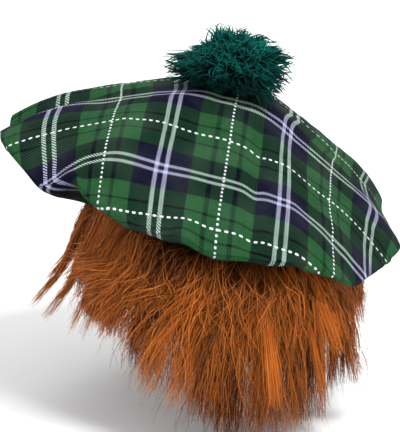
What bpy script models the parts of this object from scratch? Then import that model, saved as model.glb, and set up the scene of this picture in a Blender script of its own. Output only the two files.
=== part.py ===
"""Soft tartan beret: a round cloth crown with one-piece gathered underside, a cloth
headband, a hair fringe hanging from a tape round the band and a yarn pompom.

Worn form. Metres, +Z up, -Y is the side the photograph looks at, +X is its right.
The origin is the middle of the head opening at the headband's lower edge.
"""

import math

import bmesh
import bpy
import numpy as np

# Cloth crown
CROWN_RADIUS = 0.148        # middle to rim, along the cloth
CROWN_HEIGHT = 0.099        # middle of the top above the band's lower edge
CROWN_CENTRE_X = 0.009
CROWN_CENTRE_Y = -0.002
CROWN_WALL = 0.0015         # tartan and lining together
CROWN_TILT = 0.15           # slope of the cloth at its middle
CROWN_TILT_TOWARDS = 315.0  # degrees, the way the top leans
RIM_OUT_RATE = 0.85         # how fast the cloth still runs outward at the rim
RIM_DROP_RATE = 1.10        # how fast it still falls at the rim
RIM_ROLL = 0.026            # how strongly the cloth runs on past the rim as it turns
RIM_PLUMP = 0.003           # how far the turned cloth stands off the top
SEAM_LIFT = 0.0004          # gap between crown seam and band
STEEP_ABOVE = 0.030         # rim height over the seam at which the cloth comes in steeply
GATHER_COUNT = 24           # gathers of the underside at the band
GATHER_DEPTH = 0.0014

# Headband
BAND_WIDTH = 0.160          # outside, along X
BAND_LENGTH = 0.194         # outside, along Y
BAND_HEIGHT = 0.025
BAND_WALL = 0.0022
BAND_EDGE_ROUND = 0.0007    # small turn on the band's edges

# Hair fringe
HAIR_GAP = 0.0003           # between band and tape
HAIR_TOP = 0.0205           # top of the tape above the band's lower edge
HAIR_TAPE_FOOT = 0.004      # lower edge of the tape
HAIR_TAPE_WALL = 0.0012     # the tape by itself, at its lower edge
HAIR_ROOT_DEPTH = 0.0040    # tape and root of the pile together
HAIR_BODY_DEPTH = 0.0125    # thickness of the pile at its fullest
HAIR_TIP_DEPTH = 0.0012
HAIR_LENGTH = 0.106         # longest drop from the tape's top to a tip
HAIR_FLARE = 0.025          # furthest the tips stand out from the root
HAIR_UNEVEN = 0.006         # how much one lock may be shorter than another
HAIR_LOCKS = 22
HAIR_LOCK_COLUMNS = 6
HAIR_LOCK_RIDGE = 0.0035    # how far the middle of a lock stands out
HAIR_NOTCH = 0.022          # how far the gap between two locks runs up

# Pompom
POMPOM_WIDTH = 0.074
POMPOM_HEIGHT = 0.041
POMPOM_GAP = 0.0005         # between pompom and crown
POMPOM_SINK = 0.002         # how far the yarn is pressed down round its foot
POMPOM_LEAN = -0.003        # sideways lean of the head over its foot, along X
POMPOM_FOOT = 0.110         # share of the crown radius its underside covers
POMPOM_TUFTS = 54
POMPOM_TUFT_RISE = 0.0045
POMPOM_COLUMNS = 42
POMPOM_ROWS = 15

# Form of the crown's top, as shares of CROWN_RADIUS.
# towards: direction of the cloth in degrees, 0 is +X and 270 is the near side
# half_out, half_drop: reach and fall halfway to the rim
# rim_out, rim_drop: reach and fall at the rim
# slide: degrees the cloth has crept round at the rim
SECTIONS = (
    # towards, half_out, half_drop, rim_out, rim_drop, slide
    (0, 0.43, 0.30, 0.705, 0.605, 20),
    (14, 0.45, 0.27, 0.78, 0.565, 18),
    (24, 0.46, 0.25, 0.785, 0.545, 17),
    (45, 0.48, 0.20, 0.83, 0.49, 13),
    (70, 0.48, 0.105, 0.86, 0.42, 9),
    (100, 0.48, 0.05, 0.89, 0.36, 6),
    (125, 0.49, 0.035, 0.92, 0.29, 4),
    (150, 0.51, 0.02, 0.965, 0.19, 4),
    (163, 0.505, 0.02, 0.98, 0.155, 4),
    (177, 0.49, 0.03, 0.995, 0.165, 3),
    (188, 0.48, 0.03, 1.00, 0.165, 3),
    (195, 0.48, 0.03, 0.99, 0.19, 3),
    (202, 0.48, 0.03, 0.965, 0.225, 3),
    (208, 0.48, 0.035, 0.945, 0.25, 3),
    (214, 0.48, 0.045, 0.94, 0.26, 3),
    (226, 0.48, 0.08, 0.945, 0.27, 3),
    (240, 0.475, 0.14, 0.92, 0.36, 1),
    (255, 0.455, 0.19, 0.88, 0.45, 1),
    (270, 0.44, 0.225, 0.87, 0.505, 3),
    (285, 0.43, 0.26, 0.84, 0.56, 5),
    (303, 0.41, 0.285, 0.765, 0.695, 7),
    (315, 0.39, 0.305, 0.69, 0.71, 9),
    (330, 0.38, 0.305, 0.69, 0.71, 14),
    (339, 0.385, 0.30, 0.725, 0.685, 16),
    (350, 0.40, 0.30, 0.70, 0.64, 18),
)

# Folds that run out to the rim, depths as shares of CROWN_RADIUS.
FOLDS = (
    # towards, half_width, starts, sink, tuck
    (173, 5.0, 0.45, 0.10, 0.01),
    (208, 8.0, 0.80, 0.045, 0.00),
    (219, 5.0, 0.90, -0.035, 0.045),
    (255, 4.0, 0.80, -0.030, 0.00),
    (262, 4.0, 0.85, 0.010, 0.00),
)

# Creases that cross the cloth, from one place to another.
CREASES = (
    # from_out, from_towards, to_out, to_towards, half_width, sink
    (0.30, 291, 0.93, 271, 0.032, 0.020),
    (0.34, 311, 0.95, 283, 0.050, -0.008),
)

# Rings of the mesh: shares of the way to the rim, then of the way under it.
TOP_RINGS = (0.07, 0.15, 0.25, 0.36, 0.48, 0.60, 0.71, 0.81, 0.89, 0.95, 1.0)
UNDER_RINGS = (0.06, 0.13, 0.22, 0.34, 0.49, 0.67, 0.86, 1.0)
LINING_SKIPS = (0.07, 0.25)

# Fringe: drop of the tips as a share of HAIR_LENGTH, their reach outward as a share
# of HAIR_FLARE, and how full the pile is under the rim.
HAIR_FORM = (
    # towards, length, flare, fullness
    (0, 0.80, 0.40, 0.35),
    (25, 0.78, 0.56, 0.5),
    (45, 0.80, 0.72, 0.8),
    (90, 0.89, 0.96, 1.0),
    (135, 0.85, 0.80, 1.0),
    (180, 0.80, 0.36, 0.9),
    (205, 0.76, 0.28, 0.9),
    (226, 0.65, 0.60, 0.9),
    (241, 0.69, 0.80, 1.0),
    (255, 0.91, 0.92, 1.0),
    (275, 0.99, 1.00, 0.9),
    (300, 1.00, 0.88, 0.6),
    (318, 0.91, 0.72, 0.4),
    (340, 0.82, 0.48, 0.3),
)


def round_table(table, column, angles):
    """A column of a table read at any angle: a smooth closed curve through its rows,
    with the slope at each row taken from the rows on both sides of it."""
    rows = np.array(table, dtype=float)
    places = np.concatenate([rows[-2:, 0] - 360.0, rows[:, 0], rows[:2, 0] + 360.0])
    values = np.concatenate([rows[-2:, column], rows[:, column], rows[:2, column]])
    slopes = np.zeros(len(places))
    slopes[1:-1] = (values[2:] - values[:-2]) / (places[2:] - places[:-2])
    angles = np.mod(angles, 360.0)
    left = np.clip(np.searchsorted(places, angles, side="right") - 1, 1, len(places) - 3)
    span = places[left + 1] - places[left]
    step = (angles - places[left]) / span
    return blend(step, values[left], values[left + 1], span * slopes[left], span * slopes[left + 1])


def blend(step, start, end, start_rate, end_rate):
    """Cubic from start to end with the given rates at its two ends."""
    square = step * step
    cube = square * step
    return (
        (2 * cube - 3 * square + 1) * start
        + (cube - 2 * square + step) * start_rate
        + (3 * square - 2 * cube) * end
        + (cube - square) * end_rate
    )


def ease(step):
    """Runs from 0 to 1 with a flat start and end."""
    step = np.clip(step, 0.0, 1.0)
    return step * step * (3.0 - 2.0 * step)


def crown_top(out_share, towards):
    """Place of the top cloth that lies out_share of the way to the rim towards an
    angle: reach and fall from the section table, less the folds and creases, turned
    round by the slide of the cloth."""
    half_out = round_table(SECTIONS, 1, towards)
    half_drop = round_table(SECTIONS, 2, towards)
    rim_out = round_table(SECTIONS, 3, towards)
    rim_drop = round_table(SECTIONS, 4, towards)
    slide = round_table(SECTIONS, 5, towards)
    tilt = CROWN_TILT * np.cos(np.radians(towards - CROWN_TILT_TOWARDS))
    inner = np.clip(out_share / 0.5, 0.0, 1.0)
    outer = np.clip((out_share - 0.5) / 0.5, 0.0, 1.0)
    out = np.where(
        out_share < 0.5,
        blend(inner, 0.0, half_out, 0.485, 0.5 * rim_out),
        blend(outer, half_out, rim_out, 0.5 * rim_out, 0.5 * RIM_OUT_RATE * rim_out),
    )
    drop = np.where(
        out_share < 0.5,
        blend(inner, 0.0, half_drop, 0.5 * tilt, 0.5 * rim_drop),
        blend(outer, half_drop, rim_drop, 0.5 * rim_drop, 0.5 * RIM_DROP_RATE * (0.3 + rim_drop)),
    )
    for fold_towards, half_width, starts, sink, tuck in FOLDS:
        aside = np.mod(towards - fold_towards + 180.0, 360.0) - 180.0
        share = np.exp(-((aside / half_width) ** 2)) * ease((out_share - starts) / (1.0 - starts))
        drop = drop + sink * share
        out = out - tuck * share
    flat_x = out_share * np.cos(np.radians(towards))
    flat_y = out_share * np.sin(np.radians(towards))
    for from_out, from_towards, to_out, to_towards, half_width, sink in CREASES:
        start_x = from_out * math.cos(math.radians(from_towards))
        start_y = from_out * math.sin(math.radians(from_towards))
        run_x = to_out * math.cos(math.radians(to_towards)) - start_x
        run_y = to_out * math.sin(math.radians(to_towards)) - start_y
        along = ((flat_x - start_x) * run_x + (flat_y - start_y) * run_y) / (run_x**2 + run_y**2)
        along = np.clip(along, 0.0, 1.0)
        aside = np.hypot(flat_x - start_x - along * run_x, flat_y - start_y - along * run_y)
        drop = drop + sink * np.exp(-((aside / half_width) ** 2))
    turn = np.radians(towards + slide * np.sqrt(out_share))
    return np.stack(
        [
            CROWN_CENTRE_X + CROWN_RADIUS * out * np.cos(turn),
            CROWN_CENTRE_Y + CROWN_RADIUS * out * np.sin(turn),
            CROWN_HEIGHT - CROWN_RADIUS * drop,
        ],
        axis=-1,
    )


def band_place(turn, inward, height):
    """Point on the band's oval, moved inward from its outer face."""
    half_width = BAND_WIDTH / 2 - inward
    half_length = BAND_LENGTH / 2 - inward
    return np.stack(
        [half_width * np.cos(turn), half_length * np.sin(turn), np.full_like(turn, height)],
        axis=-1,
    )


def crown_under(under_share, towards):
    """Place of the cloth under the rim: a cubic that leaves the rim along the top
    cloth, turns under and comes in to the band, level where the rim hangs and steeply
    where it stands high, with gathers growing inward."""
    rim = crown_top(np.ones_like(towards), towards)
    before = crown_top(np.full_like(towards, 0.985), towards)
    leave = rim - before
    leave = leave / np.linalg.norm(leave, axis=-1, keepdims=True)
    turn = np.arctan2(
        (rim[..., 1] - CROWN_CENTRE_Y) * BAND_WIDTH, (rim[..., 0] - CROWN_CENTRE_X) * BAND_LENGTH
    )
    seam_height = BAND_HEIGHT + SEAM_LIFT
    seam = band_place(turn, BAND_WALL / 2, seam_height)
    out_x = np.cos(turn)
    out_y = np.sin(turn)
    reach = np.linalg.norm(rim - seam, axis=-1, keepdims=True)
    stands = np.clip((rim[..., 2] - seam[..., 2]) / STEEP_ABOVE, 0.0, 1.0)
    inward_rate = 1.0 - 0.75 * stands
    arrive = np.stack([-out_x * inward_rate, -out_y * inward_rate, -0.15 - stands], axis=-1)
    hangs = np.clip((seam[..., 2:] - rim[..., 2:]) / reach, 0.0, 1.0)
    aside = crown_top(np.ones_like(towards), towards + 1.0) - rim
    inward = np.cross(aside, leave)
    inward = inward / np.linalg.norm(inward, axis=-1, keepdims=True)
    step = np.asarray(under_share)[..., None]
    place = blend(step, rim, seam, leave * RIM_ROLL, arrive * reach * (0.75 - 0.12 * hangs))
    place = place + inward * RIM_PLUMP * np.sin(math.pi * step**0.6)
    gather = GATHER_DEPTH * np.sin(GATHER_COUNT * turn) * ease(under_share) * (1.0 - under_share) * 4.0
    place[..., 2] = place[..., 2] + gather
    return place


def grid_normals(points):
    """Unit normals of a closed ring-by-ring grid, from its neighbours on both sides."""
    along = np.gradient(points, axis=0)
    round_about = np.roll(points, -1, axis=1) - np.roll(points, 1, axis=1)
    normal = np.cross(along, round_about)
    return normal / np.maximum(np.linalg.norm(normal, axis=-1, keepdims=True), 1e-12)


def ring_faces(first, second, count):
    """Quads between two rings of the same count, given the index of each first point."""
    step = np.arange(count)
    after = (step + 1) % count
    return [
        (int(first + a), int(first + b), int(second + b), int(second + a))
        for a, b in zip(step, after)
    ]


def paint(name, colour, roughness):
    """Principled material of one piece."""
    material = bpy.data.materials.new(name)
    material.use_nodes = True
    shader = material.node_tree.nodes["Principled BSDF"]
    shader.inputs["Base Color"].default_value = (*colour, 1.0)
    shader.inputs["Roughness"].default_value = roughness
    return material


def add_piece(name, points, faces, material, smooth):
    """Object from points and faces, with its faces turned outward."""
    mesh = bpy.data.meshes.new(name)
    mesh.from_pydata([tuple(float(value) for value in point) for point in points], [], faces)
    work = bmesh.new()
    work.from_mesh(mesh)
    bmesh.ops.triangulate(work, faces=work.faces[:])
    bmesh.ops.recalc_face_normals(work, faces=work.faces[:])
    work.to_mesh(mesh)
    work.free()
    for polygon in mesh.polygons:
        polygon.use_smooth = smooth
    mesh.materials.append(material)
    piece = bpy.data.objects.new(name, mesh)
    bpy.context.scene.collection.objects.link(piece)
    return piece


def build_crown():
    """One round of tartan, drawn in under its own rim to the seam on the band."""
    towards = np.arange(0.0, 360.0, 5.0)
    extra = np.array([167.5, 172.5, 177.5, 207.5, 212.5, 217.5, 222.5, 227.5, 252.5, 257.5])
    towards = np.sort(np.concatenate([towards, extra]))
    count = len(towards)
    top = [crown_top(np.full(count, share), towards) for share in TOP_RINGS]
    under = [crown_under(np.full(count, share), towards) for share in UNDER_RINGS]
    outer = np.array(top + under)
    inner = outer - CROWN_WALL * grid_normals(outer)
    pole = crown_top(np.zeros(1), np.zeros(1))[0]
    if inner[0, :, 2].mean() > outer[0, :, 2].mean():
        inner = outer + CROWN_WALL * grid_normals(outer)
    keep = [row for row, share in enumerate(TOP_RINGS + UNDER_RINGS) if share not in LINING_SKIPS]
    inner = inner[keep]
    points = [pole, pole - np.array([0.0, 0.0, CROWN_WALL])]
    points.extend(outer.reshape(-1, 3))
    points.extend(inner.reshape(-1, 3))
    first_inner = 2 + outer.shape[0] * count
    faces = []
    for column in range(count):
        after = (column + 1) % count
        faces.append((0, 2 + column, 2 + after))
        faces.append((1, first_inner + after, first_inner + column))
    for row in range(outer.shape[0] - 1):
        faces.extend(ring_faces(2 + row * count, 2 + (row + 1) * count, count))
    for row in range(inner.shape[0] - 1):
        faces.extend(ring_faces(first_inner + (row + 1) * count, first_inner + row * count, count))
    last_outer = 2 + (outer.shape[0] - 1) * count
    last_inner = first_inner + (inner.shape[0] - 1) * count
    faces.extend(ring_faces(last_outer, last_inner, count))
    material = paint("tartan_cloth", (0.030, 0.090, 0.045), 0.9)
    add_piece("crown", points, faces, material, True)


def build_headband():
    """Cloth band round the head opening, its edges slightly rounded."""
    count = 60
    turn = np.arange(count) * (2.0 * math.pi / count)
    edge = BAND_EDGE_ROUND
    profile = (
        # inward, height
        (edge, 0.0),
        (0.0, edge),
        (0.0, BAND_HEIGHT - edge),
        (edge, BAND_HEIGHT),
        (BAND_WALL - edge, BAND_HEIGHT),
        (BAND_WALL, BAND_HEIGHT - edge),
        (BAND_WALL, edge),
        (BAND_WALL - edge, 0.0),
    )
    rings = [band_place(turn, inward, height) for inward, height in profile]
    points = np.concatenate(rings)
    faces = []
    for row in range(len(profile)):
        after = (row + 1) % len(profile)
        faces.extend(ring_faces(row * count, after * count, count))
    add_piece("headband", points, faces, paint("band_cloth", (0.020, 0.020, 0.024), 0.9), True)


def build_hair_fringe():
    """Pile of long hair on a tape round the band: locks side by side, each one full in
    the middle and drawn to a point, parted from the next by a notch at the foot."""
    count = HAIR_LOCKS * HAIR_LOCK_COLUMNS
    turn = np.arange(count) * (2.0 * math.pi / count)
    degrees = np.degrees(turn)
    lock = turn * HAIR_LOCKS / (2.0 * math.pi)
    number = np.floor(lock)
    middle = 1.0 - np.abs(2.0 * (lock - number) - 1.0)
    uneven = np.sin(number * 2.4) * 0.5 + np.sin(number * 5.1) * 0.5
    drop = HAIR_LENGTH * round_table(HAIR_FORM, 1, degrees) + HAIR_UNEVEN * uneven
    tip_height = HAIR_TOP - drop + HAIR_NOTCH * (1.0 - middle) ** 0.8
    tip_out = HAIR_FLARE * round_table(HAIR_FORM, 2, degrees)
    fullness = round_table(HAIR_FORM, 3, degrees)
    normal = np.stack([BAND_LENGTH * np.cos(turn), BAND_WIDTH * np.sin(turn), np.zeros(count)], axis=-1)
    normal = normal / np.linalg.norm(normal, axis=-1, keepdims=True)
    band = band_place(turn, 0.0, 0.0)

    def place(out, height):
        return band + normal * np.asarray(out)[..., None] + np.array([0.0, 0.0, 1.0]) * height[..., None]

    def outer_reach(along):
        body = (HAIR_BODY_DEPTH - HAIR_ROOT_DEPTH) * math.sin(math.pi * along**0.7)
        ridge = HAIR_LOCK_RIDGE * middle * math.sin(math.pi * min(1.0, along * 1.1) ** 0.8)
        return HAIR_ROOT_DEPTH + (body + ridge) * fullness + tip_out * ease(along)

    level = np.full(count, HAIR_TOP)
    rings = [place(np.full(count, HAIR_GAP), level)]
    rings.append(place(np.full(count, HAIR_ROOT_DEPTH * 0.6), level))
    for along in (0.07, 0.18, 0.34, 0.52, 0.70, 0.87, 1.0):
        height = HAIR_TOP + (tip_height - HAIR_TOP) * along
        rings.append(place(outer_reach(along), height))
    for along in (0.97, 0.76, 0.50):
        height = HAIR_TOP + (tip_height - HAIR_TOP) * along
        depth = HAIR_TIP_DEPTH + HAIR_BODY_DEPTH * 0.8 * fullness * math.sin(math.pi * along**2) ** 0.7
        rings.append(place(np.maximum(outer_reach(along) - depth, HAIR_TAPE_WALL), height))
    foot = np.full(count, HAIR_TAPE_FOOT)
    rings.append(place(np.full(count, HAIR_TAPE_WALL), foot - HAIR_TAPE_WALL / 2))
    rings.append(place(np.full(count, HAIR_GAP), foot))
    points = np.concatenate(rings)
    faces = []
    for row in range(len(rings)):
        after = (row + 1) % len(rings)
        faces.extend(ring_faces(row * count, after * count, count))
    add_piece("hair_fringe", points, faces, paint("ginger_hair", (0.30, 0.065, 0.012), 0.75), True)


def tuft_rise(directions):
    """Height of the yarn tufts over the pompom's head: round humps about evenly
    spread directions, the highest one near a place deciding."""
    number = np.arange(POMPOM_TUFTS)
    up = 1.0 - 2.0 * (number + 0.5) / POMPOM_TUFTS
    turn = number * 2.399963
    flat = np.sqrt(1.0 - up * up)
    middle = np.stack([flat * np.cos(turn), flat * np.sin(turn), up], axis=-1)
    near = np.clip(directions @ middle.T, -1.0, 1.0).max(axis=-1)
    aside = np.arccos(near) / 0.27
    return np.clip(1.0 - aside**1.4, 0.0, 1.0)


def build_pompom():
    """Round head of yarn tufts that spreads over the middle of the crown."""
    count = POMPOM_COLUMNS
    towards = np.arange(count) * (360.0 / count)
    lift = np.array([0.0, 0.0, POMPOM_GAP])
    pole = crown_top(np.zeros(1), np.zeros(1))[0] + lift
    rings = []
    for share in (0.07, POMPOM_FOOT):
        rings.append(crown_top(np.full(count, share), towards) + lift)
    foot = rings[-1]
    foot_out = np.linalg.norm(foot[:, :2] - pole[:2], axis=-1)
    turn = np.arctan2(foot[:, 1] - pole[1], foot[:, 0] - pole[0])
    half_width = POMPOM_WIDTH / 2 - POMPOM_TUFT_RISE
    half_height = POMPOM_HEIGHT / 2 - POMPOM_TUFT_RISE / 2
    centre = pole + np.array([POMPOM_LEAN, 0.0, half_height - POMPOM_SINK])
    start = -np.arccos(foot_out / half_width)
    settle = foot[:, 2] - centre[2] - half_height * np.sin(start)
    for row in range(1, POMPOM_ROWS):
        share = row / POMPOM_ROWS
        angle = start + (math.pi / 2 - start) * share
        direction = np.stack(
            [np.cos(turn) * np.cos(angle), np.sin(turn) * np.cos(angle), np.sin(angle)], axis=-1
        )
        rise = POMPOM_TUFT_RISE * tuft_rise(direction) * ease(np.array(row / 3.0))
        reach = np.array([half_width, half_width, half_height]) + rise[:, None]
        ring = centre + direction * reach
        ring[:, 2] = ring[:, 2] + settle * (1.0 - share) ** 2
        rings.append(ring)
    crest = centre + np.array([0.0, 0.0, half_height + 0.5 * POMPOM_TUFT_RISE])
    points = [pole, crest]
    points.extend(np.concatenate(rings))
    faces = []
    last = 2 + (len(rings) - 1) * count
    for column in range(count):
        after = (column + 1) % count
        faces.append((0, 2 + after, 2 + column))
        faces.append((1, last + column, last + after))
    for row in range(len(rings) - 1):
        faces.extend(ring_faces(2 + row * count, 2 + (row + 1) * count, count))
    add_piece("pompom", points, faces, paint("pompom_yarn", (0.004, 0.060, 0.055), 0.95), True)


for old in list(bpy.data.objects):
    bpy.data.objects.remove(old, do_unlink=True)
build_crown()
build_headband()
build_hair_fringe()
build_pompom()
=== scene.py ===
"""Soft tartan beret with a ginger hair fringe and a yarn pompom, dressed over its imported
model. Metres, +Z up, -Y is the side the photograph looks at and +X its right. The
origin is the middle of the head opening at the headband's lower edge.
"""

import math

import bpy
import numpy as np
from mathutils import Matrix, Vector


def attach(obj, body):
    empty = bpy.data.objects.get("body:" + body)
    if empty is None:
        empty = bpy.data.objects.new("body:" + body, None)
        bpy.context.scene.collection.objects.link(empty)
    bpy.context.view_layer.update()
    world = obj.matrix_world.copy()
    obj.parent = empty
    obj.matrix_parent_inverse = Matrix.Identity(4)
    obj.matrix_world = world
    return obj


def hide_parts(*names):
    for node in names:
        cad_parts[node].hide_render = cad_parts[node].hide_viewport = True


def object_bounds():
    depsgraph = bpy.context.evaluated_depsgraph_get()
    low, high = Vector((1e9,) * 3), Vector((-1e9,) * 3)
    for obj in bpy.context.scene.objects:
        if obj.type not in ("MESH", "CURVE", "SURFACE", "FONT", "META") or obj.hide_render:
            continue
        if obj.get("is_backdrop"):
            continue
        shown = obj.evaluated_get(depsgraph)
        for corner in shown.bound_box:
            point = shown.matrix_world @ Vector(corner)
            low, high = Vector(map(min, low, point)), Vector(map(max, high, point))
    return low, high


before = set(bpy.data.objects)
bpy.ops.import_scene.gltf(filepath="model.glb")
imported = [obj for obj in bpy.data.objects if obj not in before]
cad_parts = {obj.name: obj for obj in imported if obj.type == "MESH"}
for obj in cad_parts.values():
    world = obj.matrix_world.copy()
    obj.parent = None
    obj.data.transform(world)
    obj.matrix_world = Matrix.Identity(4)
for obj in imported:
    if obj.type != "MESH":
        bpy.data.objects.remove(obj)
scene = bpy.context.scene
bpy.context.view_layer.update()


# -----------------------------------------------------------
# Headband. A strip of black twill 25 mm wide, closed to an oval round the head
# opening. The crown is seamed to its upper edge and the hair tape to its outside.
BAND_WIDTH = 0.160
BAND_LENGTH = 0.194
BAND_HEIGHT = 0.025
BAND_WALL = 0.0022
BAND_RADIUS = (BAND_WIDTH + BAND_LENGTH) / 4
BAND_THREAD = 0.00045       # from one thread to the next


def band_place(turn, inward, height):
    """Point on the band's oval: half width times cosine, half length times sine, both
    moved inward from the outer face."""
    half_width = BAND_WIDTH / 2 - inward
    half_length = BAND_LENGTH / 2 - inward
    place = [half_width * np.cos(turn), half_length * np.sin(turn), height + 0.0 * turn]
    return np.stack(place, axis=-1)


def dye(red, green, blue):
    """Linear colour of a dye given as it looks on a screen, 0 to 255."""
    share = np.array([red, green, blue]) / 255.0
    linear = np.where(share <= 0.04045, share / 12.92, ((share + 0.055) / 1.055) ** 2.4)
    return (*linear.tolist(), 1.0)


def feed(tree, source, socket):
    """A link from a socket, or a plain value."""
    if isinstance(source, bpy.types.NodeSocket):
        tree.links.new(source, socket)
    else:
        socket.default_value = source


def maths(tree, operation, *terms, clamp=False):
    """One Math node over sockets and numbers."""
    node = tree.nodes.new("ShaderNodeMath")
    node.operation = operation
    node.use_clamp = clamp
    for slot, term in enumerate(terms):
        feed(tree, term, node.inputs[slot])
    return node.outputs[0]


def times(tree, first, second):
    """Product of two values."""
    return maths(tree, "MULTIPLY", first, second)


def apart(tree, first, second):
    """How far two values lie apart."""
    return maths(tree, "ABSOLUTE", maths(tree, "SUBTRACT", first, second))


def dyed(tree, share, first, second, blend_type="MIX"):
    """Colour between first and second by a share."""
    node = tree.nodes.new("ShaderNodeMix")
    node.data_type = "RGBA"
    node.blend_type = blend_type
    feed(tree, share, node.inputs[0])
    feed(tree, first, node.inputs[6])
    feed(tree, second, node.inputs[7])
    return node.outputs[2]


def mottle(tree, place, scale, detail, roughness=0.5):
    """Value of a noise round 0.5."""
    node = tree.nodes.new("ShaderNodeTexNoise")
    feed(tree, place, node.inputs["Vector"])
    feed(tree, scale, node.inputs["Scale"])
    node.inputs["Detail"].default_value = detail
    node.inputs["Roughness"].default_value = roughness
    return node.outputs["Fac"]


def spread(tree, value, from_low, from_high, to_low, to_high):
    """Value moved from one range to another, kept inside it."""
    node = tree.nodes.new("ShaderNodeMapRange")
    for slot, term in enumerate((value, from_low, from_high, to_low, to_high)):
        feed(tree, term, node.inputs[slot])
    return node.outputs[0]


def axes_of(tree, vector):
    """X, Y and Z of a vector, as sockets."""
    node = tree.nodes.new("ShaderNodeSeparateXYZ")
    tree.links.new(vector, node.inputs[0])
    return node.outputs


def effect_group(name, vectors, numbers, results):
    """Empty shader node group with its named sockets: its tree, the sockets that come in
    and those that go out."""
    group = bpy.data.node_groups.new(name, "ShaderNodeTree")
    for labels, way, kind in (
        (vectors, "INPUT", "NodeSocketVector"),
        (numbers, "INPUT", "NodeSocketFloat"),
        (results, "OUTPUT", "NodeSocketFloat"),
    ):
        for label in labels:
            group.interface.new_socket(label, in_out=way, socket_type=kind)
    come_in = group.nodes.new("NodeGroupInput").outputs
    return group, come_in, group.nodes.new("NodeGroupOutput").inputs


def use_effect(tree, group, **sources):
    """The group placed in a tree, its inputs fed by name."""
    node = tree.nodes.new("ShaderNodeGroup")
    node.node_tree = group
    for label, source in sources.items():
        feed(tree, source, node.inputs[label])
    return node.outputs


def twill_weave():
    """2/2 twill. Over: the warp shows where the fractional part of a quarter of both
    thread counts added is near a whole number. Height: each thread is a half round."""
    group, ins, outs = effect_group("twill_weave", (), ("Across", "Along"), ("Over", "Height"))
    edge_rate = 7.0
    both = maths(group, "ADD", ins["Across"], ins["Along"])
    phase = maths(group, "FRACT", times(group, both, 0.25))
    near_whole = maths(group, "SUBTRACT", apart(group, phase, 0.5), 0.25)
    over = maths(group, "MULTIPLY_ADD", near_whole, edge_rate, 0.5, clamp=True)
    warp, weft = [
        maths(group, "ABSOLUTE", maths(group, "SINE", times(group, threads, math.pi)))
        for threads in (ins["Across"], ins["Along"])
    ]
    lifted = times(group, over, warp)
    other = times(group, maths(group, "SUBTRACT", 1.0, over), weft)
    feed(group, over, outs["Over"])
    feed(group, maths(group, "ADD", lifted, other), outs["Height"])
    return group


def fibre_fuzz():
    """Fine fibre ends: a fine and a coarse noise, added round 0.5."""
    group, ins, outs = effect_group("fibre_fuzz", ("Place",), ("Scale",), ("Fuzz",))
    fine = mottle(group, ins["Place"], ins["Scale"], 3.0)
    coarse = mottle(group, ins["Place"], times(group, ins["Scale"], 0.13), 2.0)
    half = times(group, fine, 0.5)
    feed(group, maths(group, "MULTIPLY_ADD", coarse, 0.5, half), outs["Fuzz"])
    return group


def finish_of(name, roughness, sheen=0.0, specular=0.5):
    """New material: its tree and its Principled shader with the even values set."""
    material = bpy.data.materials.new(name)
    material.use_nodes = True
    tree = material.node_tree
    shader = tree.nodes["Principled BSDF"]
    shader.inputs["Roughness"].default_value = roughness
    shader.inputs["Sheen Weight"].default_value = sheen
    shader.inputs["Specular IOR Level"].default_value = specular
    return material, tree, shader


def raise_by(tree, shader, height, distance, strength):
    """Bump of the given depth in metres on a shader."""
    bump = tree.nodes.new("ShaderNodeBump")
    bump.inputs["Distance"].default_value = distance
    bump.inputs["Strength"].default_value = strength
    tree.links.new(height, bump.inputs["Height"])
    tree.links.new(bump.outputs["Normal"], shader.inputs["Normal"])


TWILL = twill_weave()
FUZZ = fibre_fuzz()


def object_place(tree):
    """Place on the object, in metres."""
    return tree.nodes.new("ShaderNodeTexCoord").outputs["Object"]


def fuzzed(tree, shader, place, scale, least_rough, most_rough):
    """Fibre fuzz over a surface. It roughens the shader and is returned for the rest."""
    fuzz = use_effect(tree, FUZZ, Place=place, Scale=scale)["Fuzz"]
    rough = spread(tree, fuzz, 0.3, 0.7, least_rough, most_rough)
    tree.links.new(rough, shader.inputs["Roughness"])
    return fuzz


band_cloth, tree, shader = finish_of("band_cloth", 0.88, sheen=0.15)
place = object_place(tree)
axes = axes_of(tree, place)
squared = times(tree, axes["Y"], BAND_WIDTH / BAND_LENGTH)
round_about = maths(tree, "ARCTAN2", squared, axes["X"])
weave = use_effect(
    tree, TWILL,
    Across=times(tree, round_about, BAND_RADIUS / BAND_THREAD),
    Along=times(tree, axes["Z"], 1.0 / BAND_THREAD),
)
fuzz = fuzzed(tree, shader, place, 2400.0, 0.78, 0.95)
dark = dyed(tree, weave["Over"], dye(17, 17, 21), dye(30, 30, 36))
dark = dyed(tree, spread(tree, fuzz, 0.35, 0.65, 0.0, 0.5), dark, dye(48, 47, 52))
tree.links.new(dark, shader.inputs["Base Color"])
raise_by(tree, shader, weave["Height"], 0.00018, 0.8)
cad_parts["headband"].material_slots[0].material = band_cloth


# -----------------------------------------------------------
# Crown. One round of green and navy tartan twill about 40 cm across, lined, its edge
# drawn in by gathers and seamed to the headband, so that it hangs over in a soft rim.
CROWN_RADIUS = 0.148        # middle to rim, along the cloth
CROWN_HEIGHT = 0.099
CROWN_CENTRE = (0.009, -0.002)
CROWN_WALL = 0.0015
CROWN_TILT = 0.15
CROWN_TILT_TOWARDS = 315.0
MIDDLE_OUT_RATE = 0.97      # reach over share of the cloth, at the middle
RIM_OUT_RATE = 0.85
RIM_DROP_RATE = 1.10
RIM_ROLL = 0.026
RIM_PLUMP = 0.003
SEAM_LIFT = 0.0004
GATHER_COUNT = 24
GATHER_DEPTH = 0.0014
CROWN_COLUMNS = 400
CROWN_TOP_ROWS = 105
CROWN_UNDER_ROWS = 45
SETT = 0.076                # repeat of the tartan
SETT_MIDDLE = (1.45, 0.75)  # setts at the middle of the crown
SETT_TURN = 9.0             # degrees from the cloth's threads to +X
THREADS = 156               # threads in a sett

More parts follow.
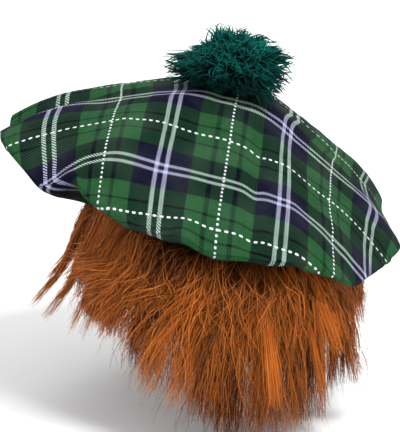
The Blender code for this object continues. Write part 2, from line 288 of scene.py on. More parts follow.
SECTIONS = (
    # towards, half_out, half_drop, rim_out, rim_drop, slide
    (0, 0.43, 0.3, 0.705, 0.605, 20),
    (14, 0.45, 0.27, 0.78, 0.565, 18),
    (24, 0.46, 0.25, 0.785, 0.545, 17),
    (45, 0.48, 0.2, 0.83, 0.49, 13),
    (70, 0.48, 0.105, 0.86, 0.42, 9),
    (100, 0.48, 0.05, 0.89, 0.36, 6),
    (125, 0.49, 0.035, 0.92, 0.29, 4),
    (150, 0.51, 0.02, 0.965, 0.19, 4),
    (163, 0.505, 0.02, 0.98, 0.155, 4),
    (177, 0.49, 0.03, 0.995, 0.165, 3),
    (188, 0.48, 0.03, 1, 0.165, 3),
    (195, 0.48, 0.03, 0.99, 0.19, 3),
    (202, 0.48, 0.03, 0.965, 0.225, 3),
    (208, 0.48, 0.035, 0.945, 0.25, 3),
    (214, 0.48, 0.045, 0.94, 0.26, 3),
    (226, 0.48, 0.08, 0.945, 0.27, 3),
    (240, 0.475, 0.14, 0.92, 0.36, 1),
    (255, 0.455, 0.19, 0.88, 0.45, 1),
    (270, 0.44, 0.225, 0.87, 0.505, 3),
    (285, 0.43, 0.26, 0.84, 0.56, 5),
    (303, 0.41, 0.285, 0.765, 0.695, 7),
    (315, 0.39, 0.305, 0.69, 0.71, 9),
    (330, 0.38, 0.305, 0.69, 0.71, 14),
    (339, 0.385, 0.3, 0.725, 0.685, 16),
    (350, 0.4, 0.3, 0.7, 0.64, 18),
)
FOLDS = (
    # towards, half_width, starts, sink, tuck
    (173, 5, 0.45, 0.1, 0.01),
    (208, 8, 0.8, 0.045, 0),
    (219, 5, 0.9, -0.035, 0.045),
    (255, 4, 0.8, -0.03, 0),
    (262, 4, 0.85, 0.01, 0),
)
CREASES = (
    # from_out, from_towards, to_out, to_towards, half_width, sink
    (0.3, 291, 0.93, 271, 0.034, 0.014),
    (0.34, 311, 0.95, 283, 0.05, -0.008),
)


def glide(step, start, end, start_rate, end_rate):
    """Cubic from start to end with the given rates at its two ends."""
    square = step * step
    cube = square * step
    return (
        (2 * cube - 3 * square + 1) * start
        + (cube - 2 * square + step) * start_rate
        + (3 * square - 2 * cube) * end
        + (cube - square) * end_rate
    )


def ease(step):
    """3 s^2 - 2 s^3: from 0 to 1 with a flat start and end."""
    step = share_of(step)
    return step * step * (3.0 - 2.0 * step)


def unit(vectors):
    """Vectors brought to length 1."""
    return vectors / np.maximum(np.linalg.norm(vectors, axis=-1, keepdims=True), 1e-12)


def between(first, second, share):
    """Value on the straight way from first to second."""
    return first * (1.0 - share) + second * share


def share_of(value):
    """Value kept from 0 to 1."""
    return np.clip(value, 0.0, 1.0)


def round_table(table, column, angles):
    """A column of a table at any angle: a smooth closed curve through its rows, with
    the slope at each row taken from the rows on both sides of it."""
    rows = np.array(table, dtype=float)
    places = np.concatenate([rows[-2:, 0] - 360.0, rows[:, 0], rows[:2, 0] + 360.0])
    values = np.concatenate([rows[-2:, column], rows[:, column], rows[:2, column]])
    slopes = np.zeros(len(places))
    slopes[1:-1] = (values[2:] - values[:-2]) / (places[2:] - places[:-2])
    angles = np.mod(angles, 360.0)
    left = np.clip(np.searchsorted(places, angles, side="right") - 1, 1, len(places) - 3)
    right = left + 1
    span = places[right] - places[left]
    step = (angles - places[left]) / span
    return glide(step, values[left], values[right], span * slopes[left], span * slopes[right])


def crown_top(out_share, towards):
    """Top cloth: reach and fall from the section table by cubics to halfway and to the
    rim, less the folds and creases, turned round by the creep of the cloth."""
    half_out, half_drop, rim_out, rim_drop, slide = [
        round_table(SECTIONS, column, towards) for column in range(1, 6)
    ]
    tilt = CROWN_TILT * np.cos(np.radians(towards - CROWN_TILT_TOWARDS))
    inner = share_of(out_share / 0.5)
    outer = share_of((out_share - 0.5) / 0.5)
    rim_fall = RIM_DROP_RATE * (0.3 + rim_drop)
    out = np.where(
        out_share < 0.5,
        glide(inner, 0.0, half_out, 0.5 * MIDDLE_OUT_RATE, 0.5 * rim_out),
        glide(outer, half_out, rim_out, 0.5 * rim_out, 0.5 * RIM_OUT_RATE * rim_out),
    )
    drop = np.where(
        out_share < 0.5,
        glide(inner, 0.0, half_drop, 0.5 * tilt, 0.5 * rim_drop),
        glide(outer, half_drop, rim_drop, 0.5 * rim_drop, 0.5 * rim_fall),
    )
    for fold_towards, half_width, starts, sink, tuck in FOLDS:
        aside = np.mod(towards - fold_towards + 180.0, 360.0) - 180.0
        share = np.exp(-((aside / half_width) ** 2)) * ease((out_share - starts) / (1.0 - starts))
        drop = drop + sink * share
        out = out - tuck * share
    flat_x = out_share * np.cos(np.radians(towards))
    flat_y = out_share * np.sin(np.radians(towards))
    for from_out, from_towards, to_out, to_towards, half_width, sink in CREASES:
        start_x = from_out * math.cos(math.radians(from_towards))
        start_y = from_out * math.sin(math.radians(from_towards))
        run_x = to_out * math.cos(math.radians(to_towards)) - start_x
        run_y = to_out * math.sin(math.radians(to_towards)) - start_y
        past_x, past_y = flat_x - start_x, flat_y - start_y
        along = share_of((past_x * run_x + past_y * run_y) / (run_x**2 + run_y**2))
        aside = np.hypot(past_x - along * run_x, past_y - along * run_y)
        drop = drop + sink * np.exp(-((aside / half_width) ** 2))
    turn = np.radians(towards + slide * np.sqrt(out_share))
    x = CROWN_CENTRE[0] + CROWN_RADIUS * out * np.cos(turn)
    y = CROWN_CENTRE[1] + CROWN_RADIUS * out * np.sin(turn)
    return np.stack([x, y, CROWN_HEIGHT - CROWN_RADIUS * drop], axis=-1)


def polar(points, centre):
    """Distance and degrees of points round a centre, seen from above."""
    beside = points[..., :2] - centre
    angle = np.degrees(np.arctan2(beside[..., 1], beside[..., 0]))
    return np.hypot(beside[..., 0], beside[..., 1]), angle


def crown_under(under_share, towards):
    """Cloth under the rim: a cubic that leaves the rim along the top cloth, turns under
    and comes in to the band, steeply where the rim stands high over it, with gathers
    growing inward."""
    rim = crown_top(np.ones_like(towards), towards)
    leave = unit(rim - crown_top(np.full_like(towards, 0.985), towards))
    beside = rim[..., :2] - CROWN_CENTRE
    turn = np.arctan2(beside[..., 1] * BAND_WIDTH, beside[..., 0] * BAND_LENGTH)
    seam = band_place(turn, BAND_WALL / 2, BAND_HEIGHT + SEAM_LIFT)
    reach = np.linalg.norm(rim - seam, axis=-1, keepdims=True)
    stands = share_of((rim[..., 2] - seam[..., 2]) / 0.03)
    level = 1 - 0.75 * stands
    arrive = [-np.cos(turn) * level, -np.sin(turn) * level, -0.15 - stands]
    arrive = np.stack(arrive, axis=-1)
    hangs = share_of((seam[..., 2:] - rim[..., 2:]) / reach)
    aside = crown_top(np.ones_like(towards), towards + 1.0) - rim
    inward = unit(np.cross(aside, leave))
    step = np.asarray(under_share)[..., None]
    place = glide(step, rim, seam, leave * RIM_ROLL, arrive * reach * (0.75 - 0.12 * hangs))
    place = place + inward * RIM_PLUMP * np.sin(math.pi * step**0.6)
    gather = GATHER_DEPTH * np.sin(GATHER_COUNT * turn) * ease(under_share)
    place[..., 2] = place[..., 2] + gather * (1.0 - under_share) * 4.0
    return place


def grid_normals(points):
    """Unit normals of a closed ring-by-ring grid, from its neighbours on both sides."""
    round_about = np.roll(points, -1, axis=1) - np.roll(points, 1, axis=1)
    return unit(np.cross(np.gradient(points, axis=0), round_about))


def rumple(across, along, seed):
    """Smooth noise from -1 to 1: random values on a unit lattice, eased between."""
    size = 64
    lattice = np.random.default_rng(seed).uniform(-1.0, 1.0, (size, size))
    column = np.floor(across).astype(int)
    row = np.floor(along).astype(int)
    share_x, share_y = ease(across - column), ease(along - row)
    lines = []
    for line in (row % size, (row + 1) % size):
        left, right = lattice[line, column % size], lattice[line, (column + 1) % size]
        lines.append(between(left, right, share_x))
    return between(lines[0], lines[1], share_y)


def ring_quads(first, second, count):
    """Quads between rings whose first points are given as arrays, (rings * count, 4)."""
    step = np.arange(count)
    after = (step + 1) % count
    first = np.asarray(first)[:, None]
    second = np.asarray(second)[:, None]
    quads = np.stack([first + step, first + after, second + after, second + step], axis=-1)
    return quads.reshape(-1, 4)


def make_piece(name, points, face_sets, material):
    """Smooth-shaded object from an array of points and arrays of equal-sided faces."""
    mesh = bpy.data.meshes.new(name)
    corners = np.concatenate([faces.ravel() for faces in face_sets])
    sides = np.concatenate([np.full(len(faces), faces.shape[1]) for faces in face_sets])
    starts = np.concatenate([[0], np.cumsum(sides)[:-1]])
    mesh.vertices.add(len(points))
    mesh.loops.add(len(corners))
    mesh.polygons.add(len(sides))
    mesh.vertices.foreach_set("co", np.ascontiguousarray(points, dtype=np.float32).ravel())
    mesh.loops.foreach_set("vertex_index", corners.astype(np.int32))
    mesh.polygons.foreach_set("loop_start", starts.astype(np.int32))
    mesh.update(calc_edges=True)
    mesh.validate()
    mesh.shade_smooth()
    mesh.materials.append(material)
    piece = bpy.data.objects.new(name, mesh)
    scene.collection.objects.link(piece)
    return piece


def tartan_stripes():
    """Masks of one thread system by its place in setts. With p the distance from the
    nearest whole sett: a pair of white lines at 0.04, navy to 0.23, a thin dark line
    at 0.395, and the far edge at 0.5 as the distance from the dashed line."""
    group, ins, outs = effect_group(
        "tartan_stripes", (), ("Place", "Line"), ("White", "Navy", "Dark", "FromDash")
    )
    near = apart(group, maths(group, "FRACT", maths(group, "ADD", ins["Place"], 0.5)), 0.5)
    for label, middle, half, soft in (
        ("White", 0.040, 0.0175, 0.004),
        ("Navy", 0.0, 0.232, 0.006),
        ("Dark", 0.395, ins["Line"], 0.006),
    ):
        inside = maths(group, "SUBTRACT", half, apart(group, near, middle))
        feed(group, maths(group, "MULTIPLY_ADD", inside, 1.0 / soft, 0.5, clamp=True), outs[label])
    feed(group, maths(group, "SUBTRACT", 0.5, near), outs["FromDash"])
    return group


def laid_dashes():
    """Mask of thick white stitches on a line. Within one repeat, the distance from a
    short straight core, compared with half the yarn's width."""
    group, ins, outs = effect_group(
        "laid_dashes", (), ("Aside", "Along", "Repeats", "Core", "Half"), ("Mask", "Height")
    )
    edge_rate, height_rate = 400.0, 90.0
    phase = maths(group, "FRACT", times(group, ins["Along"], ins["Repeats"]))
    from_middle = maths(group, "DIVIDE", apart(group, phase, 0.5), ins["Repeats"])
    past = maths(group, "MAXIMUM", maths(group, "SUBTRACT", from_middle, ins["Core"]), 0.0)
    aside_square = times(group, ins["Aside"], ins["Aside"])
    distance = maths(group, "SQRT", maths(group, "MULTIPLY_ADD", past, past, aside_square))
    inside = maths(group, "SUBTRACT", ins["Half"], distance)
    feed(group, maths(group, "MULTIPLY_ADD", inside, edge_rate, 0.5, clamp=True), outs["Mask"])
    feed(group, maths(group, "MULTIPLY", inside, height_rate, clamp=True), outs["Height"])
    return group


STRIPES = tartan_stripes()
DASHES = laid_dashes()

tartan_cloth, tree, shader = finish_of("tartan_cloth", 0.85, specular=0.05)
cloth_map = tree.nodes.new("ShaderNodeUVMap")
cloth_map.uv_map = "cloth"
on_cloth = cloth_map.outputs["UV"]
setts = axes_of(tree, on_cloth)
across, along = setts["X"], setts["Y"]
drift = mottle(tree, on_cloth, 9.0, 1.0)
across_place = maths(tree, "MULTIPLY_ADD", drift, 0.006, maths(tree, "SUBTRACT", across, 0.003))
along_place = maths(tree, "MULTIPLY_ADD", drift, -0.006, maths(tree, "SUBTRACT", along, 0.497))
warp = use_effect(tree, STRIPES, Place=across_place, Line=0.019)
weft = use_effect(tree, STRIPES, Place=along_place, Line=0.011)
weave = use_effect(
    tree, TWILL,
    Across=times(tree, across, THREADS),
    Along=times(tree, along, THREADS),
)
GREEN, NAVY = dye(41, 90, 52), dye(17, 15, 40)


def thread_colour(masks, crossing, line):
    """Colour of one thread system: green, then navy and a line over it. White threads
    are thin, so the crossing threads tint them: mint on green, lavender on navy."""
    colour = dyed(tree, masks["Navy"], GREEN, NAVY)
    colour = dyed(tree, masks["Dark"], colour, line)
    white = dyed(tree, crossing["Navy"], dye(200, 220, 212), dye(198, 198, 232))
    return dyed(tree, masks["White"], colour, white)


cloth = dyed(
    tree, weave["Over"],
    thread_colour(weft, warp, dye(6, 10, 18)), thread_colour(warp, weft, dye(14, 26, 28)),
)
# Threads of two colours look darker together than the mean of both
mixed = apart(tree, warp["Navy"], weft["Navy"])
plain = maths(tree, "SUBTRACT", 1.0, maths(tree, "MAXIMUM", warp["White"], weft["White"]))
darker = times(tree, times(tree, mixed, plain), 0.55)
cloth = dyed(tree, darker, cloth, dye(120, 132, 136), "MULTIPLY")
# Slubs: single threads a little darker along a stretch of their length
slubs = []
for wide, high in ((70.0, 5.0), (5.0, 70.0)):
    stretch = tree.nodes.new("ShaderNodeMapping")
    stretch.inputs["Scale"].default_value = (wide, high, 1.0)
    tree.links.new(on_cloth, stretch.inputs["Vector"])
    slubs.append(mottle(tree, stretch.outputs["Vector"], 1.0, 2.0, 0.6))
slub = dyed(tree, weave["Over"], slubs[1], slubs[0])
cloth = dyed(
    tree, spread(tree, slub, 0.3, 0.62, 0.42, 0.0), cloth, dye(110, 112, 130), "MULTIPLY"
)
dashes = use_effect(
    tree, DASHES, Aside=weft["FromDash"], Along=across, Repeats=17.5, Core=0.0068, Half=0.0090
)
dots = use_effect(
    tree, DASHES, Aside=warp["FromDash"], Along=along, Repeats=21.5, Core=0.0030, Half=0.0088
)
laid = maths(tree, "MAXIMUM", dashes["Mask"], dots["Mask"])
cloth = dyed(tree, laid, cloth, dye(236, 238, 246))
fuzz = fuzzed(tree, shader, on_cloth, 260.0, 0.74, 0.94)
# Painted shade under the rim: past the rim the cloth is darkened where its underside lies in
# shadow
from_centre = tree.nodes.new("ShaderNodeVectorMath")
from_centre.operation = "DISTANCE"
from_centre.inputs[1].default_value = (*SETT_MIDDLE, 0.0)
tree.links.new(on_cloth, from_centre.inputs[0])
rim_place = CROWN_RADIUS / SETT
under = spread(tree, from_centre.outputs["Value"], rim_place + 0.02, rim_place + 0.14, 0.0, 0.9)
cloth = dyed(tree, under, cloth, dye(112, 104, 116), "MULTIPLY")
# Fibre ends, and a little wear in wide patches
ends = dyed(tree, spread(tree, fuzz, 0.3, 0.7, 0.0, 1.0), dye(214, 214, 214), dye(255, 255, 255))
cloth = dyed(tree, 1.0, cloth, ends, "MULTIPLY")
worn = spread(tree, mottle(tree, on_cloth, 2.2, 3.0), 0.45, 0.8, 0.0, 0.06)
cloth = dyed(tree, worn, cloth, dye(150, 165, 150))
tree.links.new(cloth, shader.inputs["Base Color"])
stitches = maths(tree, "MAXIMUM", dashes["Height"], dots["Height"])
relief = maths(tree, "MULTIPLY_ADD", stitches, 1.5, weave["Height"])
relief = maths(tree, "MULTIPLY_ADD", fuzz, 0.4, relief)
raise_by(tree, shader, relief, 0.00016, 0.7)

towards = np.arange(CROWN_COLUMNS) * (360.0 / CROWN_COLUMNS)
top_shares = np.linspace(0.0, 1.0, CROWN_TOP_ROWS + 1)[1:] ** 0.95
under_shares = np.linspace(0.0, 1.0, CROWN_UNDER_ROWS + 1)[1:] ** 1.25
outer = np.concatenate([
    crown_top(top_shares[:, None], towards[None, :]),
    crown_under(under_shares[:, None], towards[None, :]),
])
# How far along the cloth each point lies from the middle, in crown radii
steps = np.linalg.norm(np.diff(outer, axis=0), axis=-1) / CROWN_RADIUS
from_middle = np.concatenate([
    np.repeat(top_shares[:, None], CROWN_COLUMNS, axis=1),
    1.0 + np.cumsum(steps[len(top_shares) - 1:], axis=0),
])
flat_turn = np.radians(towards[None, :] + SETT_TURN)
flat_x = from_middle * np.cos(flat_turn)
flat_y = from_middle * np.sin(flat_turn)
# Small rumples, fading out at the seam
held = np.concatenate([np.ones(len(top_shares)), 1.0 - ease(under_shares)])[:, None]
lift = 0.0
for size, fine, shift, seed in ((0.0011, 4.1, 20, 3), (0.0006, 9, 20, 5), (0.00025, 21, 30, 8)):
    lift = lift + size * rumple(flat_x * fine + shift, flat_y * fine + shift, seed)
outer = outer + grid_normals(outer) * (lift * held)[..., None]
inner = outer - CROWN_WALL * grid_normals(outer)
inner_rows = np.unique(np.concatenate([np.arange(2, len(outer), 4), [len(outer) - 1]]))
inner = inner[inner_rows]
middle = crown_top(np.zeros(1), np.zeros(1))
points = np.concatenate([
    middle, middle - [[0.0, 0.0, CROWN_WALL]], outer.reshape(-1, 3), inner.reshape(-1, 3)
])
first_inner = 2 + len(outer) * CROWN_COLUMNS
outer_rings = 2 + np.arange(len(outer)) * CROWN_COLUMNS
inner_rings = first_inner + np.arange(len(inner)) * CROWN_COLUMNS
quads = np.concatenate([
    ring_quads(outer_rings[1:], outer_rings[:-1], CROWN_COLUMNS),
    ring_quads(inner_rings[:-1], inner_rings[1:], CROWN_COLUMNS),
    ring_quads(inner_rings[-1:], outer_rings[-1:], CROWN_COLUMNS),
])
column = np.arange(CROWN_COLUMNS)
after = (column + 1) % CROWN_COLUMNS
caps = np.concatenate([
    np.stack([np.zeros_like(column), 2 + column, 2 + after], axis=-1),
    np.stack([np.ones_like(column), first_inner + after, first_inner + column], axis=-1),
])
crown = make_piece("crown_cloth", points, (quads, caps), tartan_cloth)
flat = np.stack([flat_x, flat_y], axis=-1) * (CROWN_RADIUS / SETT) + SETT_MIDDLE
flat = np.concatenate([[SETT_MIDDLE] * 2, flat.reshape(-1, 2), flat[inner_rows].reshape(-1, 2)])
corner_points = np.zeros(len(crown.data.loops), dtype=np.int32)
crown.data.loops.foreach_get("vertex_index", corner_points)
layer = crown.data.uv_layers.new(name="cloth")
layer.data.foreach_set("uv", flat[corner_points].astype(np.float32).ravel())
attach(crown, "root")
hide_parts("crown")


# -----------------------------------------------------------
# Pompom. A bunch of dark teal acrylic yarn tied at its middle and cut all round, so
# the ends stand out in small tufts. It is sewn to the middle of the crown.
POMPOM_WIDTH = 0.074
POMPOM_HEIGHT = 0.041
POMPOM_GAP = 0.0005
POMPOM_SINK = 0.002
POMPOM_LEAN = -0.003
KNOT_UNDER = 0.004          # from the ball's middle down to its knot
POMPOM_YARNS = 3100
YARN_RADIUS = 0.00062
YARN_CLEAR = 0.0012         # kept over the cloth, beyond the pompom's gap
YARN_STEPS = 7
GOLDEN_ANGLE = 2.399963
WHOLE_TURN = 6.28           # for rolls and waves
SKEW = (0.31, 0.52, 0.79)   # a direction that no strand follows

POMPOM_TUFTS = (
    # towards, up in degrees, reach, droop in metres
    (172, 4, 1.16, 0), (186, -6, 1.12, 0.001), (165, 24, 0.84, 0), (195, 30, 0.74, 0),
    (182, 50, 0.66, 0), (230, 80, 1.1, 0), (160, 82, 1.06, 0), (235, 58, 0.78, 0),
    (300, 78, 0.68, 0), (20, 82, 0.68, 0), (345, 64, 0.94, 0), (12, 52, 0.96, 0),
    (330, 44, 0.98, 0), (0, 30, 1.02, 0), (355, 10, 1.14, 0), (340, 2, 1.08, 0.003),
    (325, -8, 1.08, 0.01), (350, -16, 1.12, 0.003), (338, -20, 1.08, 0.006),
    (310, 8, 0.98, 0.005), (300, 30, 0.96, 0), (278, 48, 0.94, 0), (285, 16, 0.92, 0.003),
    (262, 28, 0.96, 0), (248, 44, 0.82, 0), (255, 6, 0.9, 0.002), (232, 22, 0.94, 0),
    (225, 2, 0.94, 0.001), (208, 14, 1, 0), (300, -14, 0.9, 0.006), (268, -16, 0.74, 0.003),
    (242, -18, 0.74, 0.002), (212, -16, 0.8, 0.001), (20, 8, 1.04, 0.003), (40, 30, 0.96, 0),
    (48, 0, 1.02, 0.003), (70, 18, 1, 0), (90, 45, 0.96, 0), (95, 5, 1.04, 0.002),
    (118, 25, 0.96, 0), (130, 0, 1.02, 0.002), (145, 42, 0.74, 0), (60, 62, 0.98, 0),
    (110, 70, 0.92, 0), (80, -15, 0.94, 0.003), (150, -14, 0.96, 0.002), (25, -16, 1, 0.004),
    (0, -42, 0.78, 0.004), (60, -42, 0.76, 0.004), (120, -42, 0.74, 0.003),
    (180, -42, 0.74, 0.003), (240, -42, 0.68, 0.003), (300, -42, 0.74, 0.004),
    (318, -24, 1.06, 0.01),
)


def strand_tubes(paths, radii, roll, sides):
    """Closed tubes along many paths at once: round each path's point, sides points at
    the radius there, in the plane square to the path. Returns points, quads, caps."""
    count, length = paths.shape[:2]
    run = unit(np.gradient(paths, axis=1))
    across = unit(np.cross(run, np.broadcast_to(SKEW, run.shape)))
    beside = np.cross(run, across)
    angle = roll[:, None] + np.arange(sides) * (2.0 * math.pi / sides)
    cosine = np.cos(angle)[:, None, :, None]
    sine = np.sin(angle)[:, None, :, None]
    ring = cosine * across[:, :, None, :] + sine * beside[:, :, None, :]
    points = paths[:, :, None, :] + ring * radii[:, :, None, None]
    number = np.arange(count * length * sides).reshape(count, length, sides)
    nearer = np.roll(number, -1, axis=2)
    quads = np.stack([number[:, :-1], nearer[:, :-1], nearer[:, 1:], number[:, 1:]], axis=-1)
    caps = np.concatenate([number[:, 0, ::-1], number[:, -1]])
    return points.reshape(-1, 3), quads.reshape(-1, 4), caps


def mark(piece, name, values):
    """A number at each point of a piece, for its material."""
    layer = piece.data.attributes.new(name, "FLOAT", "POINT")
    layer.data.foreach_set("value", np.ascontiguousarray(values, dtype=np.float32).ravel())


def marked(tree, name):
    """The number that mark wrote, as a socket."""
    node = tree.nodes.new("ShaderNodeAttribute")
    node.attribute_name = name
    return node.outputs["Fac"]


def on_ball(turn, up):
    """Direction at a turn and a height on a ball of radius 1."""
    flat = np.sqrt(np.maximum(0.0, 1.0 - up * up))
    return np.stack([flat * np.cos(turn), flat * np.sin(turn), up], axis=-1)


def even_directions(count, lowest):
    """Directions spread evenly over a ball above a height: equal steps in height, each
    turned on by the golden angle."""
    number = np.arange(count)
    up = 1.0 - (1.0 - lowest) * (number + 0.5) / count
    return on_ball(number * GOLDEN_ANGLE, up)


pompom_yarn, tree, shader = finish_of("pompom_yarn", 0.85, specular=0.12)
fuzz = fuzzed(tree, shader, object_place(tree), 2200.0, 0.75, 0.95)
teal = dyed(tree, marked(tree, "shade"), dye(0, 34, 34), dye(10, 116, 106))
teal = dyed(tree, spread(tree, fuzz, 0.45, 0.75, 0.0, 0.25), teal, dye(30, 134, 122))
# Painted shade: each yarn is darkened towards its root, inside the ball
yarn_root_painted_shade = spread(tree, marked(tree, "along"), 0.4, 1.0, 0.94, 0.0)
tree.links.new(dyed(tree, yarn_root_painted_shade, teal, dye(0, 9, 11)), shader.inputs["Base Color"])
raise_by(tree, shader, fuzz, 0.0003, 0.6)

seat = middle[0] + [0.0, 0.0, POMPOM_GAP]
knot = seat + [POMPOM_LEAN, 0.0, POMPOM_HEIGHT / 2 - POMPOM_SINK - KNOT_UNDER]
chance = np.random.default_rng(11)
rows = np.array(POMPOM_TUFTS)
tufts = on_ball(np.radians(rows[:, 0]), np.sin(np.radians(rows[:, 1])))
each_yarn = (POMPOM_YARNS, 3)
direction = even_directions(POMPOM_YARNS, lowest=-0.92)
direction = unit(direction + chance.normal(0.0, 0.06, each_yarn))
nearness = direction @ tufts.T + chance.normal(0.0, 0.03, (POMPOM_YARNS, len(tufts)))
tuft = nearness.argmax(axis=1)
pull = chance.uniform(0.40, 0.88, POMPOM_YARNS)[:, None]
gathered = between(direction, tufts[tuft], pull) + chance.normal(0.0, 0.10, each_yarn)
gathered = unit(gathered)
near_tip = share_of((np.einsum("ij,ij->i", gathered, tufts[tuft]) - 0.80) / 0.20)
reach = rows[tuft, 2] * (0.80 + 0.20 * near_tip) * chance.uniform(0.80, 1.02, POMPOM_YARNS)
size = np.array([POMPOM_WIDTH / 2, POMPOM_WIDTH / 2, POMPOM_HEIGHT / 2 + KNOT_UNDER])
tips = knot + gathered * size * reach[:, None]
roots = knot + direction * size * 0.30
share = np.linspace(0.0, 1.0, YARN_STEPS)[None, :, None]
bow = chance.normal(0.0, 0.0026, (POMPOM_YARNS, 1, 3))
paths = between(roots[:, None, :], tips[:, None, :], share) + bow * 4 * share * (1 - share)
paths[..., 2] -= rows[tuft, 3][:, None] * share[..., 0] ** 2


def crown_height(points):
    """Height of the crown's cloth under points near its middle."""
    radius, angle = polar(points, middle[0, :2])
    return crown_top(share_of(radius / (CROWN_RADIUS * MIDDLE_OUT_RATE)), angle)[..., 2]


paths[..., 2] = np.maximum(paths[..., 2], crown_height(paths) + POMPOM_GAP + YARN_CLEAR)
thinner = 1.0 - 0.75 * share[..., 0] ** 2.5
thickness = YARN_RADIUS * chance.uniform(0.8, 1.15, (POMPOM_YARNS, 1)) * thinner
roll = chance.uniform(0, WHOLE_TURN, POMPOM_YARNS)
points, quads, caps = strand_tubes(paths, thickness, roll, 4)
pompom = make_piece("pompom_yarns", points, (quads, caps), pompom_yarn)
# Tone at random per yarn and per tuft, plus painted light and shade: yarns pointing up lighter,
# those pointing down darker
yarn_tone_and_painted_light = 0.24 + 0.58 * gathered[:, 2] + chance.normal(0.0, 0.19, POMPOM_YARNS)
yarn_tone_and_painted_light = share_of(yarn_tone_and_painted_light + chance.normal(0, 0.15, len(tufts))[tuft])
mark(pompom, "shade", np.repeat(yarn_tone_and_painted_light, YARN_STEPS * 4))
mark(pompom, "along", np.tile(np.repeat(share[0, :, 0], 4), POMPOM_YARNS))
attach(pompom, "root")
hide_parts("pompom")


# -----------------------------------------------------------
# Hair. Long ginger fur fabric: a dark knitted tape sewn round the outside of the
# headband, its pile combed down in locks that part and fray towards their tips.
HAIR_GAP = 0.0003
HAIR_TOP = 0.0205
HAIR_TAPE_FOOT = 0.004
HAIR_TAPE_WALL = 0.0012
HAIR_BODY_DEPTH = 0.0125
HAIR_LENGTH = 0.106
HAIR_FLARE = 0.025
HAIR_STEPS = 9
HAIR_RADIUS = 0.00020
HAIR_LOCKS = 210
HAIR_TUFTS = 52
LOCK_REACH = 2.6            # degrees that part strand and lock as much as
LOCK_DEPTH = 0.28           # this share of the pile's depth does
TUFT_SLANT = 14.0           # degrees from the skin to the surface
HAIR_LOWEST = -0.0985       # no tip hangs lower
STRAY_SHARE = 0.10          # of the strands, loose over the rest
SHORT_SHARE = 0.20          # of the others, short and crossing
CLOTH_CLEAR = 0.004         # strands stay this far under the crown's cloth
HAIR_WAY = np.linspace(0.0, 1.0, HAIR_STEPS)[None, :]

HAIR_FORM = (
    # towards, length, flare, fullness, sweep in degrees, rise at the root, painted light share
    (0, 0.57, 0.28, 0.12, 1, 0, 0.02),
    (25, 0.66, 0.38, 0.3, 0, 0.001, 0),
    (45, 0.72, 0.5, 0.6, 0, 0.003, 0),
    (70, 0.82, 0.75, 0.9, 0, 0.009, 0),
    (100, 0.86, 0.9, 1, 0, 0.014, 0),
    (125, 0.78, 0.8, 1, 0, 0.02, 0),
    (150, 0.58, 0.6, 0.5, 0, 0.02, 0.04),
    (175, 0.46, 0.36, 0.05, -1, 0.008, 0.1),
    (190, 0.44, 0.3, 0, -1, 0.01, 0.28),
    (203, 0.45, 0.36, 0, -2, 0.02, 0.38),
    (215, 0.48, 0.6, 0.3, -6, 0.026, 0.38),
    (230, 0.5, 0.82, 0.7, -11, 0.025, 0.3),
    (245, 0.56, 0.96, 1, -13, 0.018, 0.14),
    (258, 0.79, 0.98, 1, -11, 0.01, 0.01),
    (268, 0.96, 0.98, 1, -8, 0.006, 0),
    (278, 1.06, 0.98, 0.9, -5, 0.003, 0),
    (297, 1.1, 0.9, 0.6, -2, 0, 0),
    (310, 0.94, 0.66, 0.4, 0, 0, 0),
    (327, 0.74, 0.46, 0.22, 0, 0, 0.04),
    (345, 0.57, 0.3, 0.12, 1, 0, 0.08),
)
LOOSE_LOCKS = (
    # towards, half_width, strands, reach outward, drop, sweep, rise, shade
    (205, 4, 110, 0.045, 0.049, -4, 0.018, 0.6),
    (201, 3.4, 70, 0.033, 0.034, -3, 0.018, 0.65),
    (211, 3, 50, 0.026, 0.034, -6, 0.02, 0.6),
    (215, 2.2, 80, 0.041, 0.053, -7, 0.016, 0.55),
    (194, 3, 30, 0.022, 0.034, -2, 0.01, 0.5),
    (221, 3, 60, 0.032, 0.058, -5, 0.018, 0.6),
    (226, 2, 50, 0.026, 0.062, -8, 0.016, 0.5),
    (238, 2, 40, 0.025, 0.058, -10, 0.012, 0.5),
    (233, 1.6, 36, 0.027, 0.05, -7, 0.02, 0.75),
    (243, 1.6, 44, 0.029, 0.056, -6, 0.014, 0.8),
    (249, 1.4, 40, 0.028, 0.06, -6, 0.012, 0.75),
    (257, 1.6, 40, 0.03, 0.084, -2, 0.006, 0.65),
    (266, 1.4, 36, 0.03, 0.076, 2, 0.004, 0.7),
    (247, 3, 50, 0.025, 0.066, -8, 0.006, 0.45),
    (286, 1.9, 130, 0.041, 0.088, -1, 0.004, 1.05),
    (301, 1.3, 40, 0.03, 0.09, 2, 0.002, 0.7),
    (280, 1.6, 50, 0.032, 0.07, -5, 0.004, 0.8),
    (317, 1.4, 44, 0.027, 0.062, -2, 0.002, 0.75),
    (306, 1.7, 90, 0.037, 0.062, 0, 0.001, 0.95),
    (-31, 3, 40, 0.017, 0.076, 2, 0, 0.5),
    (-21, 4, 50, 0.015, 0.066, 3, 0, 0.5),
    (150, 4, 40, 0.022, 0.07, 4, 0.009, 0.5),
    (75, 4, 40, 0.028, 0.09, 5, 0.006, 0.5),
)
HAIR_PARTS = (
    # name, from, to in degrees, strands
    ("hair_right", -35, 50, 2150),
    ("hair_far", 50, 150, 2000),
    ("hair_left", 150, 215, 1200),
    ("hair_near_left", 215, 270, 2900),
    ("hair_near_right", 270, 325, 3300),
)


def hair_base(turn):
    """Outer face of the band and its outward normal at an angle of its oval."""
    slope = [BAND_LENGTH * np.cos(turn), BAND_WIDTH * np.sin(turn), 0.0 * turn]
    return band_place(turn, 0.0, 0.0), unit(np.stack(slope, axis=-1))


def hair_path(turn, out, height, sideways_by):
    """Points at degrees round the band, standing out from it, at a height, and moved
    along the band."""
    base, normal = hair_base(np.radians(turn))
    sideways = np.stack([-normal[..., 1], normal[..., 0], 0.0 * out], axis=-1)
    points = base + normal * out[..., None] + sideways * sideways_by[..., None]
    points[..., 2] = height
    return points


